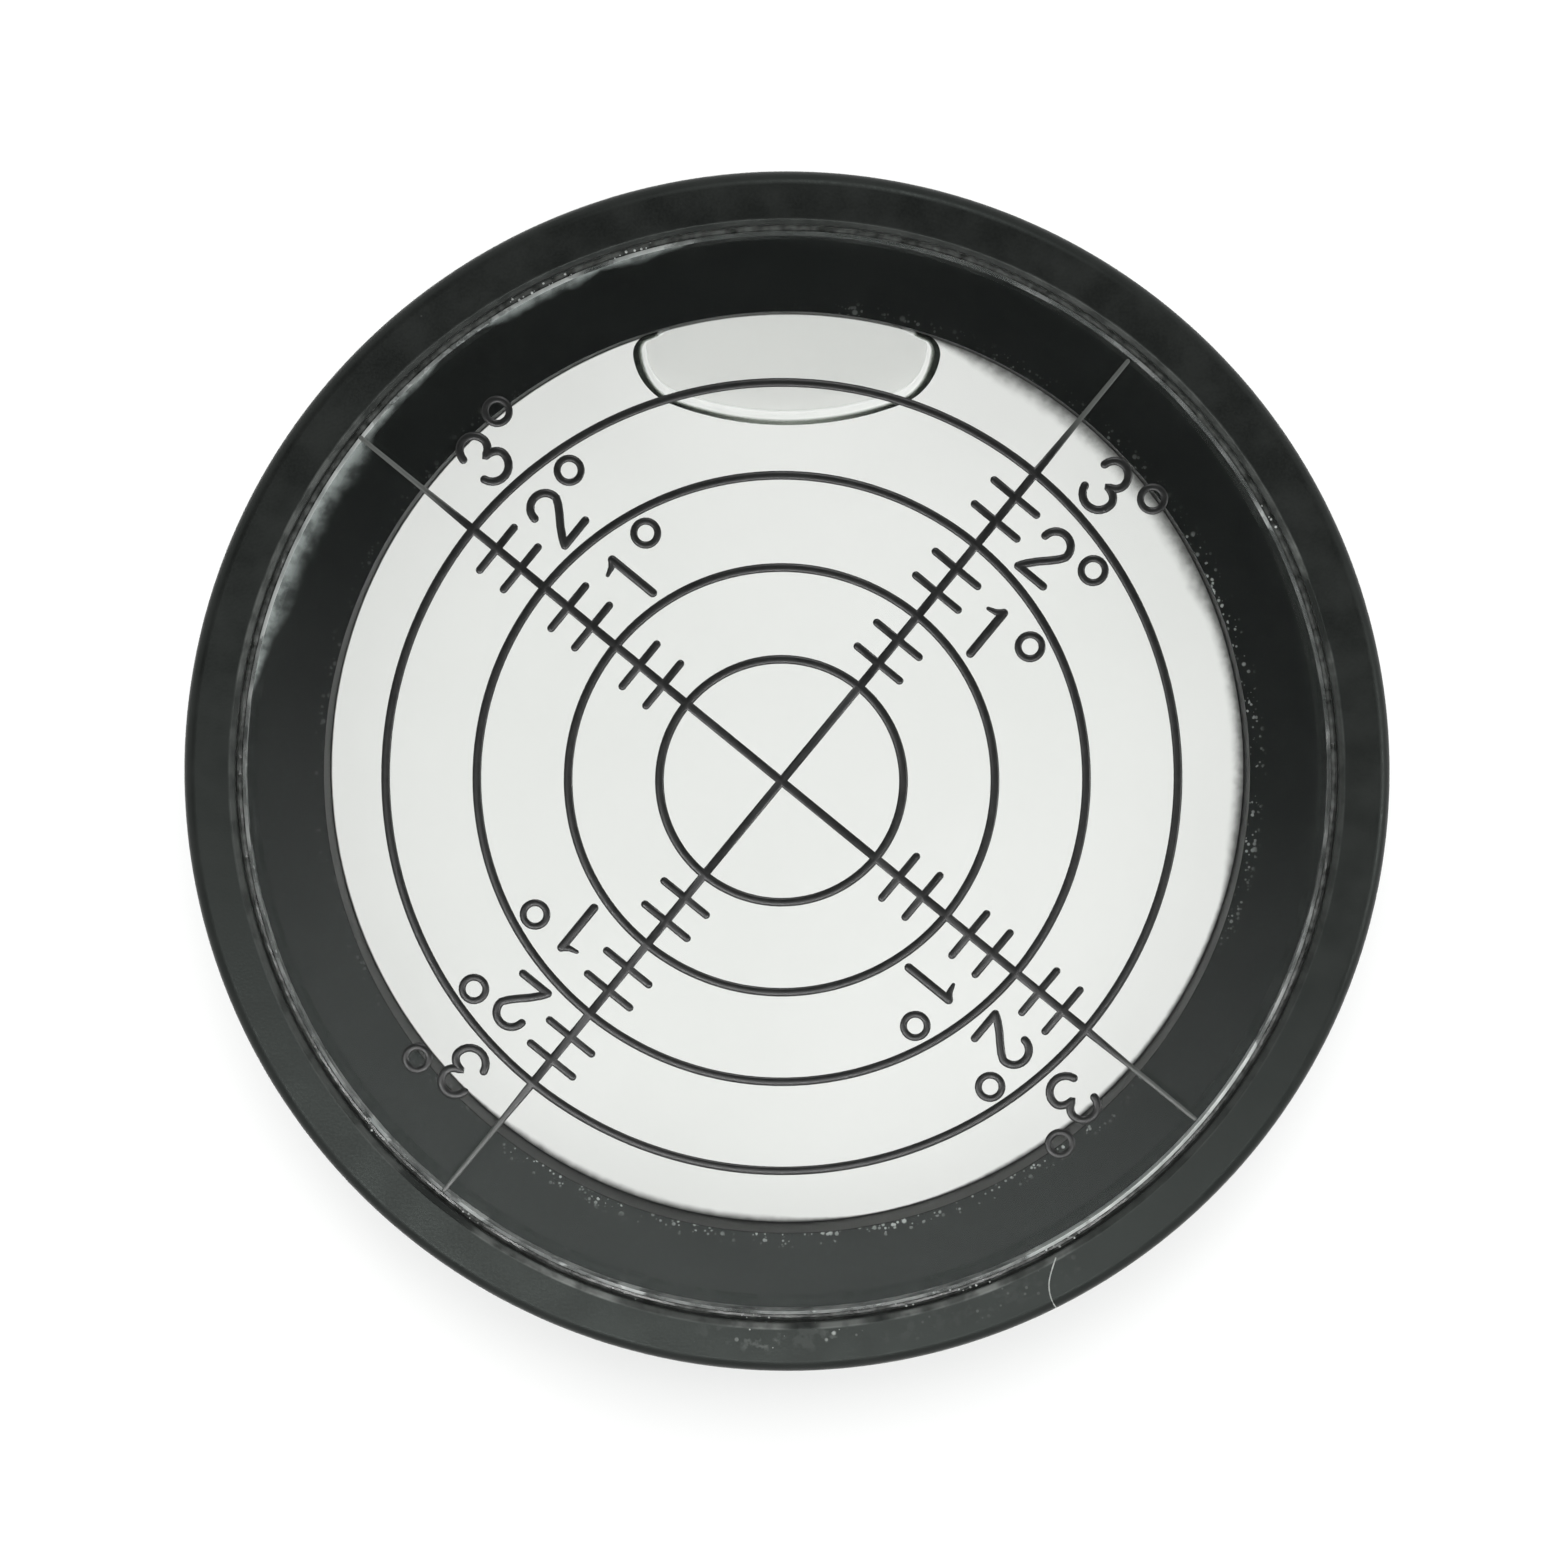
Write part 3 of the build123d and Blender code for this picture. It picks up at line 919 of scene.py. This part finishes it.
# DIRT
# What years of handling left on the level: dried crumbs of cement and dust caught in the seam round
# the lens, and one textile fibre lying across the rim at the lower right.
crumb_tree, crumb_sockets, given = shape_tree("seam_crumbs", (
    ("Geometry", "Geometry"), ("Spacing", "Float"), ("Smallest", "Float"), ("Largest", "Float"),
    ("Scatter", "Float"), ("Seed", "Int"), ("Dirt", "Material"),
))


def chance(tree, kind, low, high, offset):
    """Random number or vector between two limits, from the tree's seed and an offset."""
    limits = (low, high) if kind == "FLOAT_VECTOR" else (None, None, low, high)
    seed = sum_of(tree, given["Seed"], offset)
    made = wire(tree, "FunctionNodeRandomValue", *limits, data_type=kind, Seed=seed)
    return made.outputs["Value" if kind == "FLOAT_VECTOR" else 1]


seam_points = wire(crumb_tree, "GeometryNodeCurveToPoints", given["Geometry"], mode="LENGTH",
                   Length=given["Spacing"])
aside = chance(crumb_tree, "FLOAT_VECTOR", (-1, -1, -0.3), (1, 1, 0.3), 1)
thrown = wire(crumb_tree, "ShaderNodeVectorMath", aside, operation="SCALE", Scale=given["Scatter"])
spots = wire(crumb_tree, "GeometryNodeSetPosition", seam_points.outputs[0], Offset=thrown.outputs[0])
lump = wire(crumb_tree, "GeometryNodeMeshIcoSphere", Radius=1.0, Subdivisions=2)
dented = wire(crumb_tree, "GeometryNodeSetPosition", lump.outputs[0],
              Offset=chance(crumb_tree, "FLOAT_VECTOR", (-0.22, -0.22, -0.22), (0.22, 0.22, 0.22), 2))
crumbs = wire(crumb_tree, "GeometryNodeInstanceOnPoints", spots.outputs[0], Instance=dented.outputs[0],
              Rotation=chance(crumb_tree, "FLOAT_VECTOR", (0, 0, 0), (6.28, 6.28, 6.28), 3),
              Scale=chance(crumb_tree, "FLOAT", given["Smallest"], given["Largest"], 4))
close_tree(crumb_tree, crumbs.outputs[0], given["Dirt"])

pale_dirt, tree, output = finish_named("pale_crumbs")
shade = cloud(tree, 2600, 3)
colour = graded(tree, shade, (0.35, (0.16, 0.17, 0.165)), (0.65, (0.62, 0.65, 0.63)))
coat(output, "ShaderNodeBsdfPrincipled", Base_Color=colour, Roughness=0.5)

seam_radius = 27.22
seam_height = 11.48
seam_lines = open_curve("seam_lines")
seam_runs = ((60, 62.5), (147, 151), (158, 162), (166.5, 168), (182, 185), (196, 198.5), (215, 217),
             (228, 230.5), (330, 337), (342, 346))
for start, end in seam_runs:
    spline = seam_lines.splines.new("POLY")
    count = ceil(end - start) + 2
    spline.points.add(count - 1)
    for step, knot in enumerate(spline.points):
        turn = radians(start + (end - start) * step / (count - 1))
        knot.co = (seam_radius * mm * sin(turn), seam_radius * mm * cos(turn), seam_height * mm, 1)
seam_crumbs = made_by(
    crumb_tree, crumb_sockets, placed("seam_base", seam_lines), "seam_crumbs",
    Spacing=0.30 * mm, Smallest=0.02 * mm, Largest=0.07 * mm, Scatter=0.14 * mm, Seed=7, Dirt=pale_dirt,
)
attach(seam_crumbs, "root")

fibre_grey, tree, output = finish_named("cotton_fibre")
colour = graded(tree, cloud(tree, 4000, 3), (0.3, (0.30, 0.32, 0.30)), (0.7, (0.56, 0.58, 0.56)))
coat(output, "ShaderNodeBsdfPrincipled", Base_Color=colour, Roughness=0.7)
fibre_curve = open_curve("rim_fibre")
fibre_curve.bevel_depth = 0.032 * mm
fibre_curve.bevel_resolution = 2
fibre_curve.use_fill_caps = True
spline = fibre_curve.splines.new("NURBS")
fibre_route = ((150.5, 27.55, 12.01), (151.4, 27.95, 12.04), (152.3, 28.40, 12.04), (152.8, 28.95, 12.04),
               (153.0, 29.50, 12.00), (152.9, 29.90, 11.78))
spline.points.add(len(fibre_route) - 1)
for knot, (angle, radius, height) in zip(spline.points, fibre_route):
    turn = radians(angle)
    knot.co = (radius * mm * sin(turn), radius * mm * cos(turn), height * mm, 1)
spline.order_u = 4
spline.use_endpoint_u = True
rim_fibre = placed("rim_fibre", plain_mesh("rim_fibre", placed("fibre_line", fibre_curve)))
rim_fibre.data.materials.clear()
rim_fibre.data.materials.append(fibre_grey)
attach(rim_fibre, "root")

# STAGE
# Plain white floor under the disc. It looks white to the eye and in reflections, and keeps the
# disc's soft shadow.


def seen_share(tree):
    """One for rays that come from the camera straight, by a mirror or through glass, nought for others."""
    path = wire(tree, "ShaderNodeLightPath").outputs
    return highest_of(tree, path["Is Camera Ray"], path["Is Glossy Ray"], path["Is Transmission Ray"])


floor_white, tree, output = finish_named("white_floor")
paper = graded(tree, cloud(tree, 30, 1), (0.3, (0.715, 0.720, 0.715)), (0.7, (0.735, 0.740, 0.735)))
matt = wire(tree, "ShaderNodeBsdfDiffuse", Color=paper)
glow = wire(tree, "ShaderNodeEmission", Color=(1.0, 1.0, 1.0, 1), Strength=0.10)
dark = wire(tree, "ShaderNodeEmission", Strength=0.0)
shown = wire(tree, "ShaderNodeMixShader", seen_share(tree), dark.outputs[0], glow.outputs[0])
coat(output, "ShaderNodeAddShader", matt.outputs[0], shown.outputs[0])
form = bmesh.new()
bmesh.ops.create_grid(form, x_segments=8, y_segments=8, size=2.0)
floor = finished("floor", form)
floor.location.z = -0.02 * mm
floor.data.materials.append(floor_white)

# LIGHT AND CAMERA
# White walls low down all round, dark straight overhead and brighter towards the lower edge of the
# disc. Soft lamps stand at the right, at the top and in an arc of four low down, and one more lights
# only the floor. The camera looks down on the disc, a little above its middle.
world = bpy.data.worlds.new("studio")
bpy.context.scene.world = world
world.use_nodes = True
tree = world.node_tree
tree.nodes.clear()
toward = wire(tree, "ShaderNodeSeparateXYZ", wire(tree, "ShaderNodeTexCoord").outputs["Generated"])
lean = sum_of(tree, product_of(tree, toward.outputs[0], -0.25), product_of(tree, toward.outputs[1], -1.0))
walls = stepped(tree, toward.outputs[2], 0.76, 0.56, 0.0, 0.98)
lower_wall = stepped(tree, lean, 0.30, 0.50, 0.0, 0.60)
lower_haze = stepped(tree, lean, 0.02, 0.24, 0.0, 0.28)
level = sum_of(tree, highest_of(tree, walls, lower_wall, lower_haze), 0.02)
level = product_of(tree, level, stepped(tree, seen_share(tree), 0, 1, 0.5, 1.0))
sky = wire(tree, "ShaderNodeBackground", Color=(0.995, 1.0, 0.995, 1), Strength=level)
tree.links.new(sky.outputs[0], wire(tree, "ShaderNodeOutputWorld").inputs[0])

# Each lamp: name, place and width in metres, power in watts, and whether it casts a shadow.
lamps = [
    ("right_lamp", (0.300, -0.050, 0.250), 0.10, 0.34, False),
    ("upper_lamp", (0.040, 0.270, 0.400), 0.12, 0.47, False),
    ("floor_lamp", (0.000, 0.200, 0.420), 0.20, 0.95, True),
]
arc_x, arc_y, arc_height = -0.002, -0.021, 0.220
arc_radius = 0.097
for name, turn, power in (("lower_left_lamp", 217, 0.100), ("lower_lamp", 250, 0.082),
                          ("lower_middle_lamp", 281, 0.074), ("lower_right_lamp", 312, 0.068)):
    place = (arc_x + arc_radius * cos(radians(turn)), arc_y + arc_radius * sin(radians(turn)), arc_height)
    lamps.append((name, place, 0.055, power, False))
for name, place, width, power, shadow in lamps:
    lamp_data = bpy.data.lights.new(name, "AREA")
    lamp_data.shape = "SQUARE"
    lamp_data.size = width
    lamp_data.energy = power
    lamp_data.use_shadow = shadow
    lamp_data.cycles.use_multiple_importance_sampling = shadow
    lamp = placed(name, lamp_data)
    lamp.location = place
    lamp.rotation_euler = (Vector((0, 0, 0.01)) - lamp.location).to_track_quat("-Z", "Y").to_euler()
    lamp.visible_camera = False
floor_only = bpy.data.collections.new("lit_by_floor_lamp")
floor_only.objects.link(floor)
bpy.data.objects["floor_lamp"].light_linking.receiver_collection = floor_only

camera_data = bpy.data.cameras.new("camera")
camera_data.lens = 79.59
camera_data.sensor_width = 36
camera_data.clip_start = 0.01
camera_data.clip_end = 20
camera = placed("camera", camera_data)
camera.location = (1.285 * mm, 17.322 * mm, 183.09 * mm)
camera.rotation_euler = (radians(-5.802), radians(0.465), 0)
bpy.context.scene.camera = camera
bpy.context.scene.view_settings.view_transform = "Standard"
